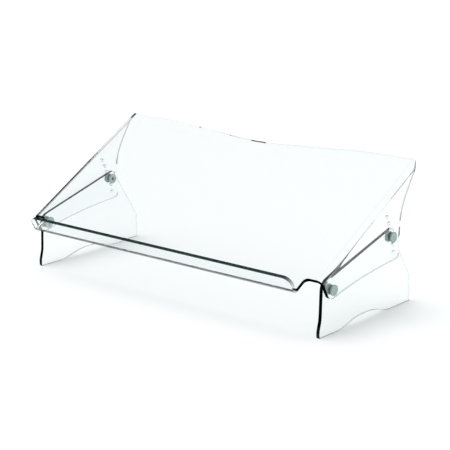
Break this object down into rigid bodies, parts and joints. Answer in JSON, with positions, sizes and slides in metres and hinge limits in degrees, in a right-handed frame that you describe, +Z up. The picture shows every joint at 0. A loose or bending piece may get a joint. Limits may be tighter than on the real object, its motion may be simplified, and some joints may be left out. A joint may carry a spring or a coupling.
{
  "type": "adjustable desktop reading slope",
  "caption": "Tilting reading slope: a folded clear acrylic board with a front lip and side wings, pivoted and screw-locked to two clear legs.",
  "frame": {"origin": "on the table, under the middle of the object's whole box", "axes": "+X to the user's right along the pivot axis, +Y away from the user, +Z up"},
  "size_m": [0.5234, 0.2459, 0.1962],
  "materials": {
    "board_acrylic": "clear cast acrylic, polished faces and edges",
    "leg_acrylic": "clear cast acrylic, polished faces, dark cut edges",
    "satin_metal": "satin turned aluminium",
    "clear_nylon": "natural nylon"
  },
  "bodies": {
    "legs": {"left_leg": "leg_acrylic", "right_leg": "leg_acrylic", "left_pivot_packing_washer": "clear_nylon", "left_pivot_leg_washer": "clear_nylon", "right_pivot_packing_washer": "clear_nylon", "right_pivot_leg_washer": "clear_nylon", "left_lock_packing_washer": "clear_nylon", "left_lock_leg_washer": "clear_nylon", "right_lock_packing_washer": "clear_nylon", "right_lock_leg_washer": "clear_nylon"},
    "board": {"board": "board_acrylic", "left_pivot_screw": "satin_metal", "right_pivot_screw": "satin_metal", "left_pivot_wing_washer": "clear_nylon", "right_pivot_wing_washer": "clear_nylon", "left_lock_wing_washer": "clear_nylon", "right_lock_wing_washer": "clear_nylon"},
    "left_lock_screw": {"left_lock_screw": "satin_metal"},
    "right_lock_screw": {"right_lock_screw": "satin_metal"},
    "left_pivot_nut": {"left_pivot_nut": "satin_metal"},
    "right_pivot_nut": {"right_pivot_nut": "satin_metal"},
    "left_lock_nut": {"left_lock_nut": "satin_metal"},
    "right_lock_nut": {"right_lock_nut": "satin_metal"}
  },
  "joints": [
    {"name": "board_tilt", "type": "hinge", "parent": "legs", "child": "board", "pos_m": [0, -0.0665, 0.061], "axis": [1, 0, 0], "range_deg": [-13.65, 9.1]},
    {"name": "left_lock_pull", "type": "slide", "parent": "board", "child": "left_lock_screw", "axis": [-1, 0, 0], "range_m": [0, 0.02]},
    {"name": "right_lock_pull", "type": "slide", "parent": "board", "child": "right_lock_screw", "axis": [1, 0, 0], "range_m": [0, 0.02]},
    {"name": "left_pivot_nut_turn", "type": "hinge", "parent": "legs", "child": "left_pivot_nut", "pos_m": [-0.247, -0.0665, 0.061], "axis": [-1, 0, 0], "continuous": true},
    {"name": "right_pivot_nut_turn", "type": "hinge", "parent": "legs", "child": "right_pivot_nut", "pos_m": [0.247, -0.0665, 0.061], "axis": [1, 0, 0], "continuous": true},
    {"name": "left_lock_nut_turn", "type": "hinge", "parent": "legs", "child": "left_lock_nut", "pos_m": [-0.247, 0.0645, 0.1018], "axis": [-1, 0, 0], "continuous": true},
    {"name": "right_lock_nut_turn", "type": "hinge", "parent": "legs", "child": "right_lock_nut", "pos_m": [0.247, 0.0645, 0.1018], "axis": [1, 0, 0], "continuous": true}
  ]
}
